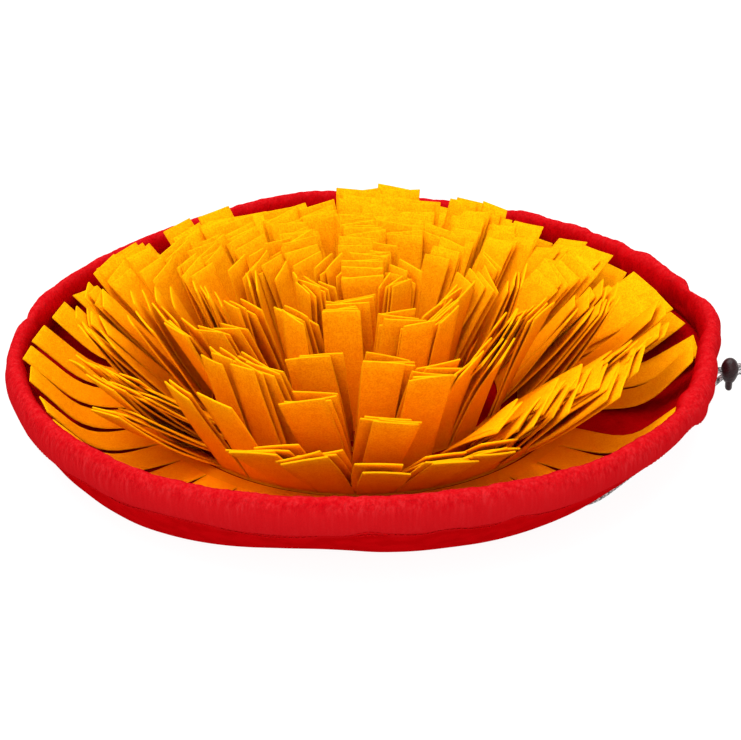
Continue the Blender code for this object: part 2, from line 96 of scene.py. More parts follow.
# Clumps of strips: where one begins, the lean of its outer bundle and of its inner ring, how much more its
# outer strips lean at the root, how much its strips close up, and how many rings each bundle has.
Clump = namedtuple("Clump", "azimuth outer inner curl squeeze bundles")
CLUMPS = tuple(Clump(*row) for row in (
    (-11, 50, 36, 4, 0.16, (1, 3, 3, 3)), (6, 61, 38, 4, 0.18, (2, 3, 3, 2)),
    (26, 62, 40, 4, 0.18, (3, 2, 3, 2)), (44, 58, 36, 2, 0.16, (1, 4, 2, 3)),
    (64, 57, 35, 0, 0.14, (2, 3, 2, 3)), (77, 45, 36, 0, 0.04, (5, 3, 2)),
    (97, 54, 33, 0, 0.10, (2, 4, 2, 2)), (119, 42, 32, 0, 0.10, (2, 3, 3, 2)),
    (137, 57, 32, 4, 0.16, (3, 2, 3, 2)), (151, 38, 29, 2, 0.12, (2, 1, 2, 2, 3)),
    (171, 40, 34, 4, 0.10, (2, 1, 1, 2, 1, 3)), (197, 48, 38, 12, 0.18, (3, 2, 2, 3)),
    (213, 55, 35, 14, 0.16, (4, 2, 2, 2)), (227, 31, 27, 0, 0.14, (1, 4, 3, 2)),
    (247, 49, 34, 0, 0.12, (2, 2, 2, 4)), (267, 51, 31, 0, 0.06, (1, 2, 3, 4)),
    (277, 53, 28, 0, 0.14, (2, 3, 3, 2)), (297, 43, 34, 2, 0.16, (3, 2, 3, 2)),
    (317, 51, 37, 6, 0.16, (4, 2, 2, 2)), (337, 46, 36, 4, 0.12, (3, 3, 2, 2)),
))

Zone = namedtuple("Zone", "rings columns turn")
ZONES = (
    Zone((10, 9, 8), 36, 2.0), Zone((7, 6), 27, 5.0), Zone((5, 4), 20, 3.0), Zone((3, 2), 13, 9.0),
    Zone((1, 0), 6, 20.0),
)
FLAP_RING = 10
OUTER_RING = FLAP_RING - 1  # of the standing strips
INNER_RING = 7
OVERLAP_MARGIN = 3.0
OUTER_PULL = 4
BUNDLE_FAN = 4.4
LEAN_JITTER = 1.2
LENGTH_JITTER = 2.5 * MM
PAGE_GAP = 3.4 * MM
SEED = 11

# The drawcord's free ends, in millimetres: (out, height) of both through the lock, then (out, along,
# height) of each by the lock, and (degrees, radius) on the ground.
LOCK_ENTRY = ((211.6, 31.4), (214.8, 30.7), (217.4, 30.1), (220, 30), (224.5, 30), (228.8, 30))
LOCK_ROUTE_A = (
    (233.4, -0.4, 30), (236.8, 3, 29.8), (238, 7.6, 29.3), (236.8, 12.2, 28.4), (233.4, 15.6, 26.9),
    (228.8, 16.8, 24.6), (223, 16.4, 19.8), (216.8, 15.2, 13.8), (210.2, 12.8, 8.2), (203.6, 8.4, 3.7),
    (198.4, 2.6, 1.9),
)
GROUND_ROUTE_A = ((-10.3, 196), (-14, 194.4), (-20, 191.3), (-26, 187.4), (-32, 183.6), (-38, 181.8),
                  (-42.6, 181.9))
LOCK_ROUTE_B = (
    (231.8, 2.4, 30), (234, 4.6, 29.8), (234.8, 7.6, 29.3), (234, 10.6, 28.5), (231.8, 12.8, 27.2),
    (228.8, 13.6, 25.2), (223, 13.1, 20.4), (217, 11.6, 14.8), (210.8, 8.7, 9.4), (205.3, 4.2, 4.5),
    (201.6, -2, 2.1),
)
GROUND_ROUTE_B = ((-11.1, 199.7), (-15, 198), (-20.5, 194.9), (-26.5, 190.8), (-32, 187), (-38, 185.2),
                  (-43, 185.2), (-46, 184.6), (-48.6, 182.4))
GROUND_HEIGHT = 1.6


def mix(first, second, share):
    """The value a share of the way from first to second."""
    return first + (second - first) * share


def smooth(share):
    """Ease from 0 to 1."""
    share = min(1.0, max(0.0, share))
    return share * share * (3 - 2 * share)


def bump_at(value, centre, width):
    """A soft bump of height 1 at centre."""
    return exp(-((value - centre) / width) ** 2)


def polar(azimuth, radius, height):
    """A point from its azimuth in degrees."""
    turn = radians(azimuth)
    return Vector((radius * cos(turn), radius * sin(turn), height))


def angles(sides):
    """Angles once around, in radians."""
    return [2 * pi * side / sides for side in range(sides)]


def curve_through(a, b, c, d, part):
    """A value part of the way from b to c on the smooth curve through a, b, c and d."""
    return 0.5 * (2 * b + (c - a) * part + (2 * a - 5 * b + 4 * c - d) * part ** 2
                  + (3 * b - a - 3 * c + d) * part ** 3)


def away_from(azimuth, centre):
    """Degrees between two azimuths, 0 to 180."""
    return abs((azimuth - centre + 180) % 360 - 180)


def near(azimuth, centre, spread):
    """A soft bump around an azimuth, in degrees."""
    return bump_at(away_from(azimuth, centre), 0, spread)


def row_at(rows, azimuth):
    """Index and azimuth of the last row at or before an azimuth, the next row's, and the azimuth itself."""
    turns = (azimuth - rows[0].azimuth) % 360 + rows[0].azimuth
    last = max(i for i, row in enumerate(rows) if row.azimuth <= turns)
    after = rows[last + 1].azimuth if last + 1 < len(rows) else rows[0].azimuth + 360
    return last, rows[last].azimuth, after, turns


def around(rows, azimuth, column):
    """A table's column at an azimuth in degrees, as a smooth closed curve through its rows."""
    last, here, after, turns = row_at(rows, azimuth)
    values = [getattr(rows[(last + step) % len(rows)], column) for step in (-1, 0, 1, 2)]
    return curve_through(*values, (turns - here) / (after - here))


def rim_at(azimuth):
    """The rim's row at an azimuth, in metres."""
    return Rim(azimuth, *(around(RIM, azimuth, column) * MM for column in Rim._fields[1:]))


def clump_at(azimuth):
    """The clump at an azimuth, with the azimuth of its middle."""
    last, here, after, turns = row_at(CLUMPS, azimuth)
    return CLUMPS[last], 0.5 * (here + after) + azimuth - turns


# ---- helpers for pieces and materials
def add_object(name, data):
    """A new object in the scene."""
    thing = bpy.data.objects.new(name, data)
    bpy.context.scene.collection.objects.link(thing)
    return thing


def dress(piece, material, slot, body=MAT, smooth_angle=50):
    """Give a piece its finish, its soft edges and the body that it rides on."""
    piece.data.materials.clear()
    piece.data.materials.append(material)
    piece.data.shade_smooth()
    if smooth_angle < 180:
        piece.data.set_sharp_from_angle(angle=radians(smooth_angle))
    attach(piece, body)


def new_piece(name, vertices, faces, material, slot, **dressing):
    """A dressed mesh object of the mat."""
    mesh = bpy.data.meshes.new(name)
    mesh.from_pydata(vertices, [], faces)
    mesh.validate()
    piece = add_object(name, mesh)
    dress(piece, material, slot, **dressing)
    return piece


def tube_faces(start, rings, sides):
    """Faces of a closed tube of rings of points, from its first point's number."""
    faces = []
    for ring in range(rings - 1):
        for side in range(sides):
            a = start + ring * sides + side
            b = start + ring * sides + (side + 1) % sides
            faces.append((a, b, b + sides, a + sides))
    last = start + (rings - 1) * sides
    faces.append(tuple(start + side for side in range(sides))[::-1])
    faces.append(tuple(last + side for side in range(sides)))
    return faces


def paint(piece, name, values, kind="FLOAT", field="value"):
    """A number (or a vector's three) at each point of a piece."""
    piece.data.attributes.new(name, kind, "POINT").data.foreach_set(field, values)


class Finish:
    """A material and short calls for its nodes."""

    def __init__(self, name, **sockets):
        self.material = bpy.data.materials.new(name)
        self.material.use_nodes = True
        self.tree = self.material.node_tree
        self.shader = self.tree.nodes["Principled BSDF"]
        for socket, value in sockets.items():
            self.feed(self.shader.inputs[socket.replace("_", " ")], value)

    def node(self, kind, **inputs):
        """A node with values or links on its inputs."""
        node = self.tree.nodes.new(kind)
        for socket, value in inputs.items():
            self.feed(node.inputs[socket.replace("_", " ")], value)
        return node

    def feed(self, socket, value):
        """Put a value, a colour or a link on an input."""
        if isinstance(value, bpy.types.NodeSocket):
            self.tree.links.new(value, socket)
        else:
            socket.default_value = (*value, 1) if socket.type == "RGBA" else value

    def place(self):
        """Object coordinates in metres."""
        return self.node("ShaderNodeTexCoord").outputs["Object"]

    def attribute(self, name, output="Fac"):
        """A painted attribute."""
        node = self.node("ShaderNodeAttribute")
        node.attribute_name = name
        return node.outputs[output]

    def noise(self, vector, scale, detail=2.0, roughness=0.5):
        """Noise of a given scale, in blobs per metre."""
        node = self.node("ShaderNodeTexNoise", Vector=vector, Scale=scale, Detail=detail, Roughness=roughness)
        return node.outputs["Fac"]

    def ramp(self, factor, stops):
        """A colour ramp through (position, colour) stops."""
        node = self.node("ShaderNodeValToRGB", Fac=factor)
        while len(node.color_ramp.elements) < len(stops):
            node.color_ramp.elements.new(0.5)
        for element, (position, colour) in zip(node.color_ramp.elements, stops):
            element.position = position
            element.color = (*colour, 1)
        return node.outputs["Color"]

    def blend(self, factor, first, second, mode="MIX"):
        """Mix two colours."""
        node = self.node("ShaderNodeMix")
        node.data_type = "RGBA"
        node.blend_type = mode
        for index, value in ((0, factor), (6, first), (7, second)):
            self.feed(node.inputs[index], value)
        return node.outputs[2]

    def math(self, operation, first, second):
        """One sum."""
        node = self.node("ShaderNodeMath")
        node.operation = operation
        self.feed(node.inputs[0], first)
        self.feed(node.inputs[1], second)
        return node.outputs[0]

    def sum(self, first, share, second, other_share):
        """A weighted sum of two values."""
        second = self.math("MULTIPLY", second, other_share)
        return self.math("ADD", self.math("MULTIPLY", first, share), second)

    def colour(self, value):
        """The base colour."""
        self.feed(self.shader.inputs["Base Color"], value)

    def bump(self, height, distance, strength=1.0):
        """Bump, on top of any that is there already."""
        node = self.node("ShaderNodeBump", Height=height, Distance=distance, Strength=strength)
        normal = self.shader.inputs["Normal"]
        if normal.is_linked:
            self.tree.links.new(normal.links[0].from_socket, node.inputs["Normal"])
        self.tree.links.new(node.outputs["Normal"], normal)


# ---- materials
# Ramps are (position, colour) stops. Grains are (blobs per metre, detail, roughness).
# the hem's red: the darker stops are the cloth's colour, and the lighter, pinker stops are painted sheen on
# the rib tops
HEM_COLOURS_AND_SHEEN = ((0.36, (0.41, 0.0018, 0.0045)), (0.5, (0.455, 0.0055, 0.008)), (0.64, (0.50, 0.014, 0.017)))
# painted shade: a darker red, varied by stains, for the wall below the seam and the hem's inner side
PAINTED_SHADE_COLOURS = ((0.4, (0.37, 0.0006, 0.0016)), (0.6, (0.43, 0.001, 0.0024)))
FELT_COLOURS = ((0.41, (0.80, 0.265, 0.001)), (0.5, (0.87, 0.338, 0.0012)), (0.59, (0.93, 0.41, 0.002)))
# painted shade: a deeper orange mixed in towards a strip's roots, by at most this share
ROOT_SHADE_COLOUR = (0.99, 0.235, 0.0008)
ROOT_SHADE_SHARE = 0.7
# painted highlight: a paler colour on the cut edges
EDGE_HIGHLIGHT_COLOUR = (0.92, 0.39, 0.0014)
YARN_COLOURS = ((0.0, (0.015, 0.014, 0.015)), (0.35, (0.16, 0.15, 0.155)), (0.7, (0.50, 0.48, 0.48)),
                (1.0, (0.82, 0.80, 0.79)))
FUZZ_COLOURS = ((0.3, (0.1, 0.1, 0.1)), (0.7, (0.9, 0.9, 0.9)))
THREAD_COLOURS = ((0.3, (0.36, 0.001, 0.002)), (0.7, (0.56, 0.004, 0.006)))
PLASTIC_COLOURS = ((0.35, (0.010, 0.002, 0.003)), (0.7, (0.030, 0.007, 0.008)))
NYLON_RIBS = (620, 3, 0.6)
NYLON_BANDS = (150, 2)
NYLON_STAINS = (90, 3)
NYLON_RIDGES = (560, 3, 0.6)
NYLON_GATHERS = (210, 2)
NYLON_WEAVE = (2600, 1)
FELT_MOTTLE = (900, 3, 0.65)
FELT_PATCHES = (160, 3)
FELT_FIBRES = (900, 4, 0.7)
FELT_LUMPS = (300, 2)
BRAID_FUZZ = (3500, 2)
THREAD_SHADES = 2500
THREAD_PLIES = 5000
PLASTIC_CLOUDS = (900, 3)
PLASTIC_SCUFFS = (1400, 4, 0.7)
PLASTIC_DENTS = (1100, 3)
SCUFFED = (0.12, 0.35)  # roughness: least, and what scuffs add


def nylon_finish():
    """Red nylon: a fine weave, ribs up the cloth, crisp on the hem's outer side, painted sheen on the lighter
    ribs, and painted shade on the wall and the hem's inner side.
    """
    look = Finish("red_nylon", Roughness=0.4, Specular_IOR_Level=0.0)
    gather = look.attribute("gather", "Vector")
    place = look.place()
    ribs = look.sum(look.noise(gather, *NYLON_RIBS), 0.7, look.noise(gather, *NYLON_BANDS), 0.3)
    crisp = look.attribute("rib")
    ribs = look.math("ADD", look.math("MULTIPLY", look.math("SUBTRACT", ribs, 0.5), crisp), 0.5)
    # the hem's red, with painted sheen on its lighter ribs
    hem_and_sheen = look.ramp(ribs, HEM_COLOURS_AND_SHEEN)
    # painted shade: a darker red with stains, mixed in on the wall and the hem's inner side
    painted_shade = look.ramp(look.noise(place, *NYLON_STAINS), PAINTED_SHADE_COLOURS)
    look.colour(look.blend(look.attribute("painted_shade"), hem_and_sheen, painted_shade))
    look.bump(look.noise(gather, *NYLON_RIDGES), 0.0012, crisp)
    look.bump(look.noise(gather, *NYLON_GATHERS), 0.0014, look.math("MULTIPLY", crisp, 0.8))
    look.bump(look.noise(place, *NYLON_WEAVE), 0.00012)
    return look.material


def felt_finish():
    """Golden felt: mottled, a tone for each page, painted shade in a deeper orange towards the roots, and
    painted highlight on the paler cut edges.
    """
    look = Finish("yellow_felt", Roughness=0.95, Specular_IOR_Level=0.0)
    place = look.place()
    mottle = look.sum(look.noise(place, *FELT_MOTTLE), 0.8, look.noise(place, *FELT_PATCHES), 0.2)
    felt = look.ramp(mottle, FELT_COLOURS)
    # painted shade: deeper orange towards the roots
    felt = look.blend(look.math("MULTIPLY", look.attribute("depth"), ROOT_SHADE_SHARE), felt, ROOT_SHADE_COLOUR)
    # painted highlight on the cut edges
    felt = look.blend(look.attribute("edge"), felt, EDGE_HIGHLIGHT_COLOUR)
    tone = look.node("ShaderNodeHueSaturation", Value=look.attribute("tone"), Color=felt)
    look.colour(tone.outputs["Color"])
    look.bump(look.noise(place, *FELT_FIBRES), 0.0007, 0.9)
    look.bump(look.noise(place, *FELT_LUMPS), 0.0007, 0.5)
    return look.material


def braid_finish():
    """Braided cord in white, grey and black yarns."""
    look = Finish("braided_cord", Roughness=0.75, Sheen_Weight=0.15)
    yarn = look.attribute("yarn")
    fuzz = look.noise(look.place(), *BRAID_FUZZ)
    colours = look.ramp(yarn, YARN_COLOURS)
    look.colour(look.blend(0.25, colours, look.ramp(fuzz, FUZZ_COLOURS), "OVERLAY"))
    look.bump(fuzz, 0.0002)
    return look.material


def thread_finish():
    """Red sewing thread."""
    look = Finish("red_thread", Roughness=0.6, Specular_IOR_Level=0.0)
    look.colour(look.ramp(look.noise(look.place(), THREAD_SHADES), THREAD_COLOURS))
    look.bump(look.noise(look.place(), THREAD_PLIES), 0.0001)
    return look.material


def plastic_finish():
    """Dark brown moulded plastic, a little scuffed."""
    look = Finish("lock_plastic", Roughness=0.28, Specular_IOR_Level=0.2)
    place = look.place()
    look.colour(look.ramp(look.noise(place, *PLASTIC_CLOUDS), PLASTIC_COLOURS))
    scuffs = look.math("MULTIPLY", look.noise(place, *PLASTIC_SCUFFS), SCUFFED[1])
    look.feed(look.shader.inputs["Roughness"], look.math("ADD", scuffs, SCUFFED[0]))
    look.bump(look.noise(place, *PLASTIC_DENTS), 0.00035, 0.7)
    return look.material


# ---- bowl
BOWL_STEPS = 1440
FLOOR_SHARES = (0.25, 0.5, 0.75, 0.9)
WALL_STEPS = 13
ROLL_STEPS = 30
ROLL_START = -62.0
ROLL_END = 235.0
SLIT_DEPTH_RADIUS = 211.0 * MM
SLIT_HALF_WIDTH = 3.3 * MM
SLIT_LOW = 28.3 * MM
SLIT_HIGH = 33.5 * MM
SLIT_ROUND = 0.6 * MM
SLIT_SLOPE = 0.9 * MM
GATHER_STRETCH = 0.08  # how slowly the ribs change up the cloth
RIM_RADIUS = 214 * MM
WALL_TOP = 0.15  # of the hem's half width, outside its middle
WALL_BEND = (0.38, 0.10)  # of the wall's run and of its height
SEAM_LEVEL = 0.93  # of the hem's half height, below its middle
SEAM_ROWS = (-1.25 * MM, 1.25 * MM)
SEAM_DEPTH = 0.9 * MM
SEAM_WIDTH = 1.7 * MM

# How far the wandering seam is above the hem's lower side, in millimetres.
Seam = namedtuple("Seam", "azimuth rise")
SEAM = tuple(Seam(*row) for row in (
    (10, 0), (100, 0), (190, 0), (218, 0.6), (225, 2.1), (229, -1.2), (234, -0.9), (239, 0.8), (246, 1.1),
    (252, -2.1), (256, -2.6), (263, -0.3), (267, 0.4), (270, 3.4), (273, 0.4), (277, -1.8), (282, -0.5),
    (286, -3.2), (288.5, -2.2), (291, 1.9), (295, -0.8), (298, -1.9), (302, -0.7), (309, 0.3), (320, 0),
))
SEAM_MIDDLE = 264.0  # degrees: the table's middle
SEAM_REACH = 42.0  # degrees to either side; the seam wanders beyond
SEAM_FADE = 8.0

# Where the hem bulges out (or in), in millimetres, and how far to either side, in degrees.
Lump = namedtuple("Lump", "azimuth out spread")
LUMPS = tuple(Lump(*row) for row in (
    (35, 0.9, 3.0), (28, 1.2, 2.6), (21, 0.4, 2.4), (14.5, -4.2, 2.6), (7, 0.6, 2.4), (0, -0.8, 2.6),
    (-20, 1.0, 2.4), (-27.5, 2.0, 2.2), (-33, -1.0, 2.6), (46, 1.0, 2.8), (57, 0.9, 2.4), (168, -1.8, 1.5),
    (161, 1.0, 2.6), (70, 0.9, 3.0),
))
GATHERED = ((275, 55), (25, 50))  # where the gathers are strongest, and how far around
GATHERED_LEAST = 0.6
CRUMPLED = (30, 34)  # where the hem is crumpled
CRUMPLED_BILLOW = 7 / 9
CRUMPLED_OUT = 1.2

# The cloth's folds: height in millimetres, wavelength in metres, place in the noise, then on the way up
# its slant in degrees, its change in the noise, where it begins and in how long it rises.
Fold = namedtuple("Fold", "height period offset slant climb start reach", defaults=(0.0, 0.0, -1.0, 1.0))
SEAM_WANDER = Fold(2.4, 24 * MM, 61.0)
FINE_GATHER = Fold(0.50, 3.4 * MM, 3.0, climb=0.5)
GATHER = Fold(0.75, 9 * MM, 11.0, 1.6, 0.4)
BILLOW = Fold(0.9, 30 * MM, 23.0, 3.0, 0.5)
CREASE = Fold(4.0, 22 * MM, 31.0, 4.0, 0.9)
PUCKER = Fold(1.1, 24 * MM, 41.0, 0.0, 1.0, 0.0, 0.625)
FINE_PUCKER = Fold(0.6, 7 * MM, 47.0, 0.0, 0.4, 0.45, 0.4)
WAVE = Fold(1.7, 52 * MM, 71.0, 0.0, 0.0, 0.12, 0.3)
PLEAT = Fold(0.9, 16 * MM, 53.0, 0.0, 0.6, 0.0, 1 / 1.4)
WAVE_LOSS = 0.5  # of its height, up to the seam
ROLL_FADE = 0.1  # of the roll, where the gathers fade out

# Ribs, as shares of the way around the hem's roll and of their strength.
RIB_START = 0.18
RIB_WANDER = Fold(0.10, 60 * MM, 83.0)
RIB_REACH = 0.16
RIB_LEAST = 0.22
RIB_INNER = 0.8
RIB_INNER_LOSS = 0.4
# painted shade on the hem's inner side: where it begins and how far it deepens, as shares of the roll
SHADE_START = 0.5
SHADE_REACH = 0.22


def fold(kind, azimuth, up=0.0):
    """How far a fold stands out. Its noise closes up around the rim."""
    scale = RIM_RADIUS / kind.period
    turn = radians(azimuth + kind.slant * up)
    place = Vector((cos(turn) * scale, sin(turn) * scale, kind.offset + kind.climb * up))
    return kind.height * noise.noise(place) * smooth((up - kind.start) / kind.reach)


def seam_height(azimuth):
    """Height of the middle of the seam under the hem."""
    rim = rim_at(azimuth)
    beyond = smooth((away_from(azimuth, SEAM_MIDDLE) - SEAM_REACH) / SEAM_FADE)
    rise = around(SEAM, azimuth, "rise") + beyond * fold(SEAM_WANDER, azimuth)
    return rim.height - SEAM_LEVEL * rim.roll + rise * MM


def rib_strength(azimuth, up):
    """How crisp the cloth's ribs are: less on the hem's lower and inner sides and on the wall."""
    outer = smooth((up - RIB_START - fold(RIB_WANDER, azimuth)) / RIB_REACH)
    inner = smooth((up - RIB_INNER) / (1 - RIB_INNER))
    return mix(RIB_LEAST, 1.0, outer * (1 - RIB_INNER_LOSS * inner))


def gathers(azimuth, up):
    """How far the hem's folds stand out. up is 0 at the seam and 1 at the inner seam."""
    strong = mix(GATHERED_LEAST, 1.0, max(near(azimuth, *place) for place in GATHERED))
    crumpled = near(azimuth, *CRUMPLED)
    height = fold(FINE_GATHER, azimuth, up) + fold(GATHER, azimuth, up)
    height *= strong * rib_strength(azimuth, up)
    height += fold(BILLOW, azimuth, up) * (1 + CRUMPLED_BILLOW * crumpled)
    height += crumpled * (CRUMPLED_OUT - abs(fold(CREASE, azimuth, up)))
    height += sum(lump.out * near(azimuth, lump.azimuth, lump.spread) for lump in LUMPS)
    return height * MM


def wall_point(azimuth, share):
    """A point of the wall's outer face, from foot (0) to hem (1), and its normal."""
    rim = rim_at(azimuth)
    start = Vector((rim.foot, 0))
    end = Vector((rim.radius + WALL_TOP * HEM_HALF_WIDTH, rim.height - SEAM_LEVEL * rim.roll))
    bend = Vector((mix(rim.foot, end.x, WALL_BEND[0]), WALL_BEND[1] * end.y))
    point = start.lerp(bend, share).lerp(bend.lerp(end, share), share)
    slope = (bend - start).lerp(end - bend, share).normalized()
    return point, Vector((slope.y, -slope.x))


def outer_skin(azimuth):
    """The wall's outer face and the hem's roll, as (radius, height), from foot to inner seam."""
    rim = rim_at(azimuth)
    seam = seam_height(azimuth)
    skin = []
    for step in range(WALL_STEPS):
        share = step / (WALL_STEPS - 1)
        point, normal = wall_point(azimuth, share)
        out = fold(PUCKER, azimuth, share) * share + fold(FINE_PUCKER, azimuth, share)
        out += fold(WAVE, azimuth, share) * (1 - WAVE_LOSS * share)
        skin.append(point + normal * (out * MM - SEAM_DEPTH * bump_at(point.y, seam, SEAM_WIDTH)))
    for step in range(ROLL_STEPS):
        up = step / (ROLL_STEPS - 1)
        angle = radians(mix(ROLL_START, ROLL_END, up))
        fade = smooth(up / ROLL_FADE) * smooth((1 - up) / ROLL_FADE)
        lift = gathers(azimuth, up) * fade
        if up < 0.5:
            lift -= SEAM_DEPTH * bump_at(rim.height + rim.roll * sin(angle), seam, SEAM_WIDTH)
        skin.append(Vector((rim.radius + (HEM_HALF_WIDTH + lift) * cos(angle),
                            rim.height + (rim.roll + lift) * sin(angle))))
    return skin


def bowl_section(azimuth):
    """The bowl's cross-section as (radius, height), from the underside to the floor's top."""
    foot = rim_at(azimuth).foot
    outer = [Vector((foot * share, 0)) for share in FLOOR_SHARES]
    inner = [Vector((foot * share, CLOTH)) for share in FLOOR_SHARES]
    for step in range(WALL_STEPS):
        share = step / (WALL_STEPS - 1)
        point, normal = wall_point(azimuth, share)
        inner.append(point - normal * (CLOTH + abs(fold(PLEAT, azimuth, share)) * MM))
    return outer + outer_skin(azimuth) + inner[::-1]


def open_slit(azimuth, point):
    """Press the hem in where the drawcord leaves it."""
    side = radians(away_from(azimuth, LOCK_AZIMUTH)) * point.x
    mouth = smooth((SLIT_HALF_WIDTH + SLIT_ROUND - side) / SLIT_SLOPE)
    mouth *= smooth((point.y - SLIT_LOW) / MM + 0.5) * smooth((SLIT_HIGH - point.y) / MM + 0.5)
    if point.x > SLIT_DEPTH_RADIUS and mouth > 0:
        point = Vector((mix(point.x, SLIT_DEPTH_RADIUS, mouth), point.y))
    return point


def make_bowl(material):
    """The gathered bowl cloth with its hem channel, as one closed skin."""
    vertices, faces, gather, shade, ribs = [], [], [], [], []
    count = 0
    for step in range(BOWL_STEPS):
        azimuth = 360 * step / BOWL_STEPS
        points = bowl_section(azimuth)
        seam = seam_height(azimuth)
        count = len(points)
        along = 0.0
        for i, point in enumerate(points):
            along += (point - points[i - 1]).length if i else point.x
            point = open_slit(azimuth, point)
            place = polar(azimuth, point.x, point.y)
            vertices.append(place)
            gather += (place.x, place.y, along * GATHER_STRETCH)
            up = (i - len(FLOOR_SHARES) - WALL_STEPS) / (ROLL_STEPS - 1)
            # painted shade: full below the seam, and deepening over the hem's inner side
            below = 1 - smooth((point.y - seam) / SEAM_WIDTH + 0.5)
            shade.append(max(below, smooth((up - SHADE_START) / SHADE_REACH)))
            ribs.append(rib_strength(azimuth, up))
    low = len(vertices)
    vertices += [Vector((0, 0, 0)), Vector((0, 0, CLOTH))]
    gather += (0, 0, 0, 0, 0, 1)
    shade += [1.0, 1.0]
    ribs += [0.0, 0.0]
    for step in range(BOWL_STEPS):
        here = step * count
        after = (step + 1) % BOWL_STEPS * count
        faces.append((low, after, here))
        faces.append((low + 1, here + count - 1, after + count - 1))
        faces += [(here + i, after + i, after + i + 1, here + i + 1) for i in range(count - 1)]
    piece = new_piece("bowl_gathered_cloth", vertices, faces, material, "bowl_cloth", smooth_angle=180)
    paint(piece, "gather", gather, "FLOAT_VECTOR", "vector")
    paint(piece, "painted_shade", shade)
    paint(piece, "rib", ribs)
    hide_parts("bowl_cloth")
    return piece


# ---- stitches
STITCH = 2.6 * MM
STITCH_GAP = 0.8 * MM
THREAD = 0.42 * MM
STITCH_SIDES = 5
STITCH_POINTS = 4
STITCH_LIFT = 0.1 * MM
STITCH_ARCH = 0.25 * MM


def skin_at(skin, height):
    """The outer skin's first point at a height, and its normal."""
    for below, above in zip(skin, skin[1:]):
        if below.y <= height < above.y:
            point = below.lerp(above, (height - below.y) / (above.y - below.y))
            slope = (above - below).normalized()
            return point, Vector((slope.y, -slope.x))
    return skin[WALL_STEPS], Vector((1, 0))


def make_stitches(material):
    """Two rows of stitches along the seam under the hem's roll."""
    vertices, faces = [], []
    pitch = STITCH + STITCH_GAP
    count = round(2 * pi * RIM_RADIUS / pitch)
    for row, offset in enumerate(SEAM_ROWS):
        for stitch in range(count):
            start = 360 * (stitch + 0.5 * row) / count
            base = len(vertices)
            for step in range(STITCH_POINTS):
                azimuth = start + 360 * (STITCH / pitch) * step / (STITCH_POINTS - 1) / count
                point, normal = skin_at(outer_skin(azimuth), seam_height(azimuth) + offset)
                rise = STITCH_ARCH * sin(pi * step / (STITCH_POINTS - 1)) + STITCH_LIFT
                centre = polar(azimuth, point.x + normal.x * rise, point.y + normal.y * rise)
                out = polar(azimuth, normal.x, normal.y)
                up = out.cross(polar(azimuth + 90, 1, 0))
                vertices += [centre + (out * cos(a) + up * sin(a)) * THREAD for a in angles(STITCH_SIDES)]
            faces += tube_faces(base, STITCH_POINTS, STITCH_SIDES)
    return new_piece("hem_stitches", vertices, faces, material, "bowl_cloth")


# ---- felt strips
STRIP_SECTIONS = 12  # along a strip
STRIP_COLUMNS = 6  # across it
CURL_START = 0.6  # of a clump's curl, at the root
CURL_CHANGE = 1.2  # of it, from root to tip
CURL_PULL = 3  # towards the outer rings
CLOSING = 1.3  # how late on their way up a clump's strips close up
PAGE = 1.15 * MM  # a standing strip is folded into two pages of this
PAGE_ROOT_GAP = 1.9 * MM
PAGE_ROOM = 1.5 * PAGE
PAGE_FAN = (0.3, 4.2)  # degrees by which the inner page stands steeper
PAGE_SHIFT = (0.52, 1.3)  # degrees by which a ring's inner pages stand aside
PAGE_SHORTER = 7.0 * MM  # most
CENTRE_FAN = (1.2, 2.2)  # the same for the middle's three strips
CENTRE_SHORTER = 1.0 * MM  # least
DROOP = {297: 16.0, 317: 12.0, 6: 6.0, 26: 6.0, 277: 6.0, 337: 6.0}  # degrees from root to tip, by clump
DROOP_RINGS = (2, 9)  # between these the strips droop
DROOP_LEVEL = 0.42  # of the length, where the droop is nothing
CLUMP_TWIST = 12.0  # degrees, most, of a whole clump
TWIST_CYCLE = 2.4
TURNED = {277: 10.0, 297: 28.0, 317: 13.0}  # degrees more, by clump
TWIST = 4.0  # degrees, most, of a page in it
CLUMP_SWAY = 7.0  # degrees, most, that a clump leans sideways
SWAY_CYCLE = 1.7
SWAY_START = 0.8
SWAYED = {317: 5.0, 337: -7.0, -11: -5.0}  # degrees in place of that, by clump
SWAY = 2.5  # degrees, most, more for a strip in it
SWAY_RINGS = 3.0  # the rings further in sway less
TIP_SKEW = 2.4 * MM
TIP_PULL = 3  # how near the tip the skew is
CUP = 0.6 * MM
CUP_LEVEL = 0.4
RIPPLE = 0.35 * MM
RIPPLE_CYCLE = 5.0
RIPPLE_RISE = 3.0
TONE = 0.06  # most by which a page is lighter or darker
BACKING_TONE = 0.95
EDGE_ROUND = 0.35 * MM
BACKING_STEPS = 144
BACKING_HOLE = 0.5 * MM  # in the middle's backing
ACROSS = [-1 + 2 * i / STRIP_COLUMNS for i in range(STRIP_COLUMNS + 1)]
# A page's cross-section: shares across and through it, and 1 at a cut edge, which gets the painted highlight.
OUTLINE = ([(x, 1.0, 0.0) for x in ACROSS] + [(1.0, 0.0, 1.0)]
           + [(x, -1.0, 0.0) for x in ACROSS[::-1]] + [(-1.0, 0.0, 1.0)])


def ring_radius(ring):
    """Radius of a ring's roots."""
    return CORE_RADIUS + RING_PITCH * ring


def bundled_lean(ring, clump):
    """A standing strip's lean in degrees, from its clump's bundles."""
    outermost = OUTER_RING
    for count in clump.bundles:
        innermost = outermost - count + 1
        if ring >= innermost:
            break
        outermost = innermost - 1
    centre = 0.5 * (outermost + innermost)
    spread = clump.inner / ring_radius(INNER_RING)
    lean = spread * ring_radius(centre)
    edge = spread * ring_radius(OUTER_RING)
    lean += (clump.outer - edge) * (centre / OUTER_RING) ** OUTER_PULL
    if outermost == OUTER_RING:
        lean = clump.outer
    return lean + (centre - ring) * BUNDLE_FAN


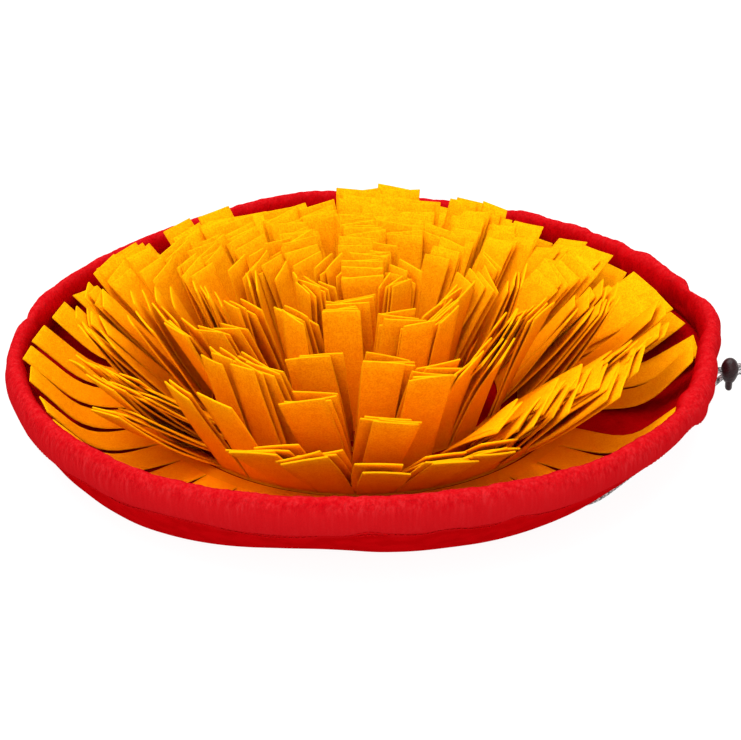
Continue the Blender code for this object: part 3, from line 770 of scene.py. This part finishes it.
def plan_strips():
    """Azimuth, lean and spare length of each ring's strips. None leans into the ring outside it."""
    dice = random.Random(SEED)
    plan = {}
    outside = []
    for zone in ZONES:
        pitch = 360 / zone.columns
        for ring in zone.rings:
            rows = []
            for column in range(zone.columns):
                azimuth = zone.turn + pitch * column
                lean = bundled_lean(ring, clump_at(azimuth)[0]) + dice.uniform(-LEAN_JITTER, LEAN_JITTER)
                for other, far, _ in outside:
                    if away_from(azimuth, other) < 0.5 * pitch + OVERLAP_MARGIN:
                        room = RING_PITCH * cos(radians(far)) - PAGE_GAP
                        lean = min(lean, far + degrees(room / STRIP_LENGTH))
                rows.append((azimuth, lean, dice.uniform(-LENGTH_JITTER, 0)))
            plan[ring] = rows
            if ring < FLAP_RING:
                outside = rows
    return plan


def flap_lean(azimuth, share):
    """Lean of an outermost strip: along the floor, then up to the hem's inner side."""
    rim = rim_at(azimuth)
    bend = ring_radius(FLAP_RING) + FLAP_BEND * rim.flap
    reach = rim.radius - HEM_HALF_WIDTH - FLAP_GAP - bend
    tip_lean = degrees(asin(reach / ((1 - FLAP_BEND) * rim.flap)))
    return mix(FLAP_ROOT_LEAN, tip_lean, smooth(2 * (share - FLAP_BEND) + 0.5))


def middle_line(radius, length, bend):
    """A strip's middle line as (radius, height, azimuth, lean). bend gives the last two at a share of it."""
    points = []
    here = Vector((radius, CLOTH + CLEARANCE + BACKING_HEIGHT))
    for i in range(PATH_STEPS + 1):
        azimuth, lean = bend(i / PATH_STEPS)
        points.append((here.x, here.y, azimuth, lean))
        tilt = radians(lean)
        here = here + Vector((sin(tilt), cos(tilt))) * length / PATH_STEPS
    return points


def strip_path(ring, azimuth, lean, length, inset=0.0):
    """The middle line of a ring's strip."""
    clump, middle = clump_at(azimuth)
    inner, outer = DROOP_RINGS
    droop_share = min(1.0, max(0.0, (ring - inner) / (outer - inner)))
    droop = DROOP.get(clump.azimuth, 0.0) * sin(pi * droop_share)
    curl = clump.curl * (ring / OUTER_RING) ** CURL_PULL

    def bend(share):
        turned = azimuth + (middle - azimuth) * clump.squeeze * share ** CLOSING
        if ring == FLAP_RING:
            return turned, flap_lean(azimuth, share)
        return turned, lean + curl * (CURL_START - CURL_CHANGE * share) + droop * (share - DROOP_LEVEL)

    return middle_line(ring_radius(ring) - inset, length, bend)


class Skin:
    """What a ring of felt is made of, gathered before it becomes a mesh."""

    def __init__(self):
        self.vertices, self.faces = [], []
        # depth sets the painted shade towards the roots, and edge sets the painted highlight on the cut edges
        self.painted = {"edge": [], "tone": [], "depth": []}  # depth is 1 at a root, 0 at a tip
        self.width = 0.0  # of all pages, side by side

    def paint(self, edge, tone, depth, points=1):
        """What the next points are painted with."""
        for name, value in (("edge", edge), ("tone", tone), ("depth", depth)):
            self.painted[name] += [value] * points


def ring_width(zone, squeeze, widest):
    """Half a strip's width in a ring, by radius and share of the length."""
    def half_width(radius, share):
        room = radians(360 / zone.columns) * radius * (1 - squeeze * share ** CLOSING) - SIDE_GAP
        return min(widest, room) / 2
    return half_width


def add_page(skin, points, half_width, dice, twist, sway=0.0, place_shift=0.0):
    """One page of felt along a middle line, a little twisted, cupped and askew."""
    skew = dice.uniform(-TIP_SKEW, TIP_SKEW)
    cup = dice.uniform(-CUP, CUP)
    wave = dice.uniform(0, 2 * pi)
    tone = 1 + dice.uniform(-TONE, TONE)
    twist += dice.uniform(-TWIST, TWIST)
    swing = radians(sway)
    start = len(skin.vertices)
    size = len(OUTLINE)
    for step in range(STRIP_SECTIONS + 2):
        last = step > STRIP_SECTIONS
        share = min(1.0, step / STRIP_SECTIONS)
        radius, height, place, leaning = points[round(share * PATH_STEPS)]
        width = half_width(radius, share)
        skin.width += 2 * width / (STRIP_SECTIONS + 2)
        turn = radians(place + place_shift)
        out = Vector((cos(turn), sin(turn), 0))
        across = Vector((-sin(turn), cos(turn), 0))
        tilt = radians(leaning)
        along = out * sin(tilt) + Vector((0, 0, cos(tilt)))
        face = Vector((0, 0, sin(tilt))) - out * cos(tilt)
        roll = radians(twist * share)
        across, face = (across * cos(roll) + face * sin(roll),
                        face * cos(roll) - across * sin(roll))
        across, along = (across * cos(swing) - along * sin(swing) * share,
                         along + across * sin(swing))
        ripple = RIPPLE * sin(wave + RIPPLE_CYCLE * share) * smooth(share * RIPPLE_RISE)
        centre = out * radius + Vector((0, 0, height)) + face * ripple
        centre += across * (STRIP_LENGTH * share * sin(swing))
        if last:
            centre += along * EDGE_ROUND
        thickness = PAGE / 2 * (0.5 if last else 1.0)
        for x, through, edge in OUTLINE:
            rounded = abs(x) == 1.0 and (last or abs(through) == 1.0)
            trimmed = width - (EDGE_ROUND if rounded else 0)
            lift = through * thickness + cup * (x * x - CUP_LEVEL) * share
            askew = skew * x * share ** TIP_PULL
            skin.vertices.append(centre + across * (x * trimmed) + face * lift + along * askew)
            skin.paint(1.0 if last else edge, tone, 1 - share)
    skin.faces += tube_faces(start, STRIP_SECTIONS + 2, size)[:-1]
    low = 2 * STRIP_COLUMNS + 2
    cap = [(i, i + 1, low - i - 1, low - i) for i in range(STRIP_COLUMNS)]
    cap += [(STRIP_COLUMNS, STRIP_COLUMNS + 1, STRIP_COLUMNS + 2), (0, size - 2, size - 1)]
    skin.faces += [tuple(start + (STRIP_SECTIONS + 1) * size + i for i in face) for face in cap]


def add_backing(skin, inside, outside):
    """The narrow band on the floor that strips are sewn to."""
    low = CLOTH + CLEARANCE
    high = low + BACKING_HEIGHT
    corners = ((inside, low), (outside, low), (outside, high), (inside, high))
    start = len(skin.vertices)
    for step in range(BACKING_STEPS):
        skin.vertices += [polar(360 * step / BACKING_STEPS, r, z) for r, z in corners]
    skin.paint(0.0, BACKING_TONE, 1.0, 4 * BACKING_STEPS)
    for step in range(BACKING_STEPS):
        here = start + 4 * step
        after = start + 4 * ((step + 1) % BACKING_STEPS)
        for i in range(4):
            j = (i + 1) % 4
            skin.faces.append((here + i, after + i, after + j, here + j))


def page_room(ring, azimuth, lean, plan):
    """Degrees by which an inner page can stand steeper before it meets the next ring in."""
    if ring == 0:
        return PAGE_FAN[1]
    rows = plan[ring - 1]
    reach = 180 / len(rows) + OVERLAP_MARGIN
    behind = max(row[1] for row in rows if away_from(azimuth, row[0]) < reach)
    gap = (RING_PITCH - PAGE_ROOT_GAP) * cos(radians(lean)) - PAGE_ROOM
    return max(0.0, lean - behind + degrees(gap / STRIP_LENGTH))


def make_felt_ring(ring, zone, plan, material, dice):
    """One ring of felt strips on its backing. A standing strip is folded into two pages."""
    sideways = dice.uniform(*PAGE_SHIFT) * dice.choice((-1, 1))
    skin = Skin()
    flat = ring == FLAP_RING
    for column, (azimuth, lean, spare) in enumerate(plan[ring]):
        if flat and column == FLAP_MISSING:
            continue
        length = (rim_at(azimuth).flap if flat else STRIP_LENGTH) + spare
        clump = clump_at(azimuth)[0]
        twist = CLUMP_TWIST * sin(TWIST_CYCLE * clump.azimuth)
        twist += TURNED.get(clump.azimuth, 0.0) * ring / OUTER_RING
        sway = SWAYED.get(clump.azimuth, CLUMP_SWAY * sin(SWAY_CYCLE * clump.azimuth + SWAY_START))
        sway = (sway + dice.uniform(-SWAY, SWAY)) * min(1.0, ring / SWAY_RINGS)
        if flat:
            twist = sway = 0.0
        half_width = ring_width(zone, clump.squeeze, FLAP_WIDTH if flat else STRIP_WIDTH)
        add_page(skin, strip_path(ring, azimuth, lean, length), half_width, dice, twist, sway)
        if not flat:
            steeper = min(dice.uniform(*PAGE_FAN), page_room(ring, azimuth, lean, plan))
            length -= dice.uniform(0, PAGE_SHORTER)
            points = strip_path(ring, azimuth, lean - steeper, length, PAGE_ROOT_GAP)
            add_page(skin, points, half_width, dice, twist, sway, sideways)
    radius = ring_radius(ring)
    heel = FLAP_HEEL if flat else PAGE_ROOT_GAP
    add_backing(skin, radius - FELT / 2 - heel, radius + FELT / 2)
    number = FLAP_RING - ring + 1
    felt_piece(skin, f"felt_strips_{number:02d}", f"felt_ring_{number:02d}", material)


def make_centre(material, dice):
    """The middle's three strips, each of two pages, on a small backing."""
    skin = Skin()

    def half_width(radius, share):
        return mix(CENTRE_ROOT_WIDTH, CENTRE_TIP_WIDTH, share) / 2

    for place, lean in CENTRE_STRIPS:
        for page in (0, 1):
            placing = 90 if place >= 0 else 270, abs(lean) - page * dice.uniform(*CENTRE_FAN)
            length = STRIP_LENGTH - page * dice.uniform(CENTRE_SHORTER, PAGE_SHORTER)
            points = middle_line(abs(place) * MM - page * PAGE_ROOT_GAP, length, lambda share: placing)
            add_page(skin, points, half_width, dice, 0.0)
    add_backing(skin, BACKING_HOLE, CENTRE_ROOT_WIDTH / 2)
    felt_piece(skin, "felt_centre_strips", "felt_centre", material)


def felt_piece(skin, name, node, material):
    """Make a ring's mesh and put it in its solid's place."""
    piece = new_piece(name, skin.vertices, skin.faces, material, "felt", smooth_angle=60)
    for layer, values in skin.painted.items():
        paint(piece, layer, values)
    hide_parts(node)


# ---- drawcord
BRAID_SIDES = 16
BRAID_STEP = 0.5 * MM
BRAID_STRANDS = 8
BRAID_LAY = 7.0 * MM  # of a strand's once around
BRAID_RELIEF = 0.16 * MM
BRAID_TURNS = 50  # more than a cord's length has
YARNS = (0.02, 0.35, 0.75, 1.0)
TIP = 3.2 * MM  # the sealed end
TIP_FADE = 0.6 * MM
TIP_TAPER = 0.12
FINE_STEPS = 24


def cord_route(hole, by_lock, on_ground):
    """A cord's route in metres. hole is the lock's side that it runs through, -1 or 1."""
    out = polar(LOCK_AZIMUTH, 1, 0)
    along = polar(LOCK_AZIMUTH + 90, 1, 0)
    entry = tuple((far, hole * CORD_SPREAD / MM, height) for far, height in LOCK_ENTRY)
    points = [out * far + along * side + Vector((0, 0, height)) for far, side, height in entry + by_lock]
    points += [polar(*place, GROUND_HEIGHT) for place in on_ground]
    return [point * MM for point in points]


def smooth_line(route, step):
    """Points at an even step along a smooth curve through a route."""
    ends = [route[0], *route, route[-1]]
    fine = [curve_through(*four, k / FINE_STEPS)
            for four in zip(ends, ends[1:], ends[2:], ends[3:]) for k in range(FINE_STEPS)]
    fine.append(route[-1])
    line = [fine[0]]
    spare = step
    for start, end in zip(fine, fine[1:]):
        length = (end - start).length
        done = 0.0
        while length - done >= spare:
            done += spare
            line.append(start.lerp(end, done / length))
            spare = step
        spare -= length - done
    return line


def make_cord(name, route, material, dice, node):
    """A braided cord along a route, with a sealed dark end."""
    line = smooth_line(route, BRAID_STEP)
    yarns = [dice.choice(YARNS) for _ in range(2 * BRAID_STRANDS)]
    side = (line[1] - line[0]).cross(Vector((0, 0, 1))).normalized()
    vertices, shades = [], []
    total = BRAID_STEP * (len(line) - 1)
    for i, point in enumerate(line):
        ahead = (line[min(i + 1, len(line) - 1)] - line[max(i - 1, 0)]).normalized()
        side = (side - ahead * side.dot(ahead)).normalized()
        up = ahead.cross(side)
        run = i * BRAID_STEP
        sealed = smooth((run - total + TIP) / TIP_FADE)
        for angle in angles(BRAID_SIDES):
            left = (angle / (2 * pi) + run / BRAID_LAY) * BRAID_STRANDS
            right = (angle / (2 * pi) - run / BRAID_LAY) * BRAID_STRANDS
            relief = cos(pi * left) * cos(pi * right)
            if relief > 0:
                yarn = yarns[int(left) % BRAID_STRANDS]
            else:
                yarn = yarns[int(right + BRAID_TURNS * BRAID_STRANDS) % BRAID_STRANDS + BRAID_STRANDS]
            radius = CORD / 2 - BRAID_RELIEF + BRAID_RELIEF * abs(relief) * (1 - sealed)
            radius *= 1 - TIP_TAPER * sealed
            vertices.append(point + (side * cos(angle) + up * sin(angle)) * radius)
            shades.append(mix(yarn, 0.0, sealed))
    faces = tube_faces(0, len(line), BRAID_SIDES)
    piece = new_piece(name, vertices, faces, material, "drawcord", smooth_angle=70)
    paint(piece, "yarn", shades)
    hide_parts(node)
    return piece


# ---- cord lock
ROD_SIDES = 32
BARREL_ROWS = 40
BARREL_SIDES = 56
GROOVES = (-0.62, -0.50, -0.38, 0.62)  # levels from foot (-1) to top (1)
GROOVE_DEPTH = 0.22 * MM
GROOVE_WIDTH = 0.03
BORE_TOP = 0.36 * BARREL.z
BUTTON_TOP = CORD / 2 + CLEARANCE + 1.2 * MM
BUTTON_ROUND = 0.32  # of its width
ROUND_STEP = 0.35
SLOT_ROUND = 0.42  # of its smaller side
SLOT_STEPS = 6


def shaped(name, bm):
    """A mesh object in the lock's place, from a bmesh whose +X points out of the bowl."""
    bmesh.ops.recalc_face_normals(bm, faces=bm.faces)
    mesh = bpy.data.meshes.new(name)
    bm.to_mesh(mesh)
    bm.free()
    place = Matrix.Translation(polar(LOCK_AZIMUTH, LOCK_RADIUS, LOCK_HEIGHT))
    mesh.transform(place @ Matrix.Rotation(radians(LOCK_AZIMUTH), 4, "Z"))
    return add_object(name, mesh)


def ovals(rows, sides):
    """A closed bmesh through level ovals, given as (half width, half depth, height)."""
    mesh = bpy.data.meshes.new("ovals")
    mesh.from_pydata([(x * cos(a), y * sin(a), z) for x, y, z in rows for a in angles(sides)], [],
                     tube_faces(0, len(rows), sides))
    bm = bmesh.new()
    bm.from_mesh(mesh)
    bpy.data.meshes.remove(mesh)
    return bm


def oval_rod(width, depth, low, high, rounding=0.0):
    """An upright oval rod, its foot rounded by a share of its width."""
    rows = [(1 - rounding, low), (1 - ROUND_STEP * rounding, low + ROUND_STEP * rounding * width),
            (1.0, low + rounding * width)] if rounding else [(1.0, low)]
    return ovals([(width / 2 * grow, depth / 2 * grow, z) for grow, z in rows + [(1.0, high)]], ROD_SIDES)


def slot_box(length, width, height, centre):
    """A slot with rounded ends along +X as a bmesh."""
    bm = bmesh.new()
    size = Matrix.Diagonal((length, width, height, 1))
    bmesh.ops.create_cube(bm, size=1, matrix=Matrix.Translation((0, 0, centre)) @ size)
    long_edges = [e for e in bm.edges if abs(e.verts[0].co.x - e.verts[1].co.x) > 0.5 * length]
    bmesh.ops.bevel(bm, geom=long_edges, offset=SLOT_ROUND * min(height, width), segments=SLOT_STEPS,
                    affect="EDGES")
    return bm


def cut_through(thing, *cutters):
    """Cut the cutters out of a thing and remove them."""
    for cutter in cutters:
        modifier = thing.modifiers.new("cut", "BOOLEAN")
        modifier.operation = "DIFFERENCE"
        modifier.object = cutter
    graph = bpy.context.evaluated_depsgraph_get()
    mesh = bpy.data.meshes.new_from_object(thing.evaluated_get(graph))
    thing.modifiers.clear()
    thing.data = mesh
    for cutter in cutters:
        bpy.data.objects.remove(cutter, do_unlink=True)


def make_lock(material):
    """The cord lock's egg-shaped barrel and its spring button."""
    hole = CORD + 2 * CLEARANCE
    spread = 2 * CORD_SPREAD + hole
    rows = []
    for row in range(1, BARREL_ROWS):
        level = cos(pi * row / BARREL_ROWS)
        grow = sin(pi * row / BARREL_ROWS) * (1 + BARREL_TAPER * level)
        groove = GROOVE_DEPTH * sum(bump_at(level, at, GROOVE_WIDTH) for at in GROOVES)
        rows.append((BARREL.x / 2 * grow - groove, BARREL.y / 2 * grow - groove, BARREL.z / 2 * level))
    barrel = shaped("lock_barrel", ovals(rows, BARREL_SIDES))
    bore = shaped("bore", oval_rod(PLUNGER_WIDTH + 2 * PLUNGER_FIT, PLUNGER_DEPTH + 2 * PLUNGER_FIT,
                                   -BARREL.z, BORE_TOP))
    eye = shaped("eye", slot_box(2 * BARREL.x, spread, hole, 0))
    cut_through(barrel, bore, eye)

    button = shaped("lock_button", oval_rod(PLUNGER_WIDTH, PLUNGER_DEPTH, -BARREL.z / 2 - BUTTON_OUT,
                                            BUTTON_TOP, BUTTON_ROUND))
    window = shaped("window", slot_box(2 * PLUNGER_WIDTH, spread, hole + BUTTON_TRAVEL, -BUTTON_TRAVEL / 2))
    cut_through(button, window)
    dress(barrel, material, "lock_plastic", MAT, smooth_angle=35)
    dress(button, material, "lock_plastic", BUTTON, smooth_angle=35)
    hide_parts("cord_lock_barrel")
    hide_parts("cord_lock_button")
    return barrel, button


# ---- stage
PHOTO_WIDTH = 741
PHOTO_HEIGHT = 740
SENSOR = 36.0
FOCAL_PIXELS = 1825.5
CAMERA_ELEVATION = radians(26.7)
CAMERA_DISTANCE = 1.134
CAMERA_ROLL = radians(1.2)
AIM_HEIGHT = 0.039
CENTRE_X = 363.8  # where the aim falls in the picture, in pixels
CENTRE_Y = 340.9
Lamp = namedtuple("Lamp", "place strength")
LAMPS = (Lamp((-0.1, 0.15, 1.0), 3.1), Lamp((-0.35, -1.0, 1.0), 0.9), Lamp((0.3, -1.0, 0.3), 0.4))
LAMP_ANGLE = radians(60)
WORLD_LIGHT = 0.85
FLOOR_GREY = (0.12, 0.12, 0.12)
FLOOR_GLOW = 0.93
FLOOR_HALF = 40.0
WHITE = (1, 1, 1)
SCENE_SEED = 5


def make_camera():
    """The camera at the photograph's angle."""
    camera = bpy.data.cameras.new("camera")
    camera.sensor_width = SENSOR
    camera.sensor_fit = "HORIZONTAL"
    camera.lens = FOCAL_PIXELS * SENSOR / PHOTO_WIDTH
    camera.shift_x = (0.5 * PHOTO_WIDTH - CENTRE_X) / PHOTO_WIDTH
    camera.shift_y = (CENTRE_Y - 0.5 * PHOTO_HEIGHT) / PHOTO_WIDTH
    thing = add_object("camera", camera)
    turn = Matrix.Rotation(pi / 2 - CAMERA_ELEVATION, 4, "X") @ Matrix.Rotation(-CAMERA_ROLL, 4, "Z")
    place = Vector((0, -CAMERA_DISTANCE * cos(CAMERA_ELEVATION),
                    AIM_HEIGHT + CAMERA_DISTANCE * sin(CAMERA_ELEVATION)))
    thing.matrix_world = Matrix.Translation(place) @ turn
    bpy.context.scene.camera = thing


def make_lights():
    """Broad soft light from above, and two weaker ones from the front."""
    for number, lamp in enumerate(LAMPS):
        data = bpy.data.lights.new(f"softbox_{number}", "SUN")
        data.angle = LAMP_ANGLE
        data.energy = lamp.strength
        thing = add_object(f"softbox_{number}", data)
        thing.location = lamp.place
        thing.rotation_euler = (-Vector(lamp.place)).to_track_quat("-Z", "Y").to_euler()


def make_world():
    """White surroundings."""
    world = bpy.data.worlds.new("studio")
    bpy.context.scene.world = world
    world.use_nodes = True
    background = world.node_tree.nodes["Background"]
    background.inputs["Color"].default_value = (*WHITE, 1)
    background.inputs["Strength"].default_value = WORLD_LIGHT


def make_floor():
    """A plain pale floor."""
    mesh = bpy.data.meshes.new("floor")
    corners = [(x * FLOOR_HALF, y * FLOOR_HALF, 0) for x, y in ((-1, -1), (1, -1), (1, 1), (-1, 1))]
    mesh.from_pydata(corners, [], [(0, 1, 2, 3)])
    look = Finish("floor", Roughness=0.9, Specular_IOR_Level=0.0, Base_Color=FLOOR_GREY,
                  Emission_Color=WHITE, Emission_Strength=FLOOR_GLOW)
    mesh.materials.append(look.material)
    add_object("floor", mesh)


def main():
    """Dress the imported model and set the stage."""
    make_camera()
    dice = random.Random(SCENE_SEED)
    barrel, button = make_lock(plastic_finish())
    braid = braid_finish()
    make_cord("drawcord_a", cord_route(-1, LOCK_ROUTE_A, GROUND_ROUTE_A), braid, dice, "drawcord_end_a")
    make_cord("drawcord_b", cord_route(1, LOCK_ROUTE_B, GROUND_ROUTE_B), braid, dice, "drawcord_end_b")
    bowl = make_bowl(nylon_finish())
    stitches = make_stitches(thread_finish())
    felt = felt_finish()
    plan = plan_strips()
    for zone in ZONES:
        for ring in zone.rings:
            make_felt_ring(ring, zone, plan, felt, dice)
    make_centre(felt, dice)
    make_floor()
    make_lights()
    make_world()
    bpy.context.scene.view_settings.view_transform = "Standard"


main()
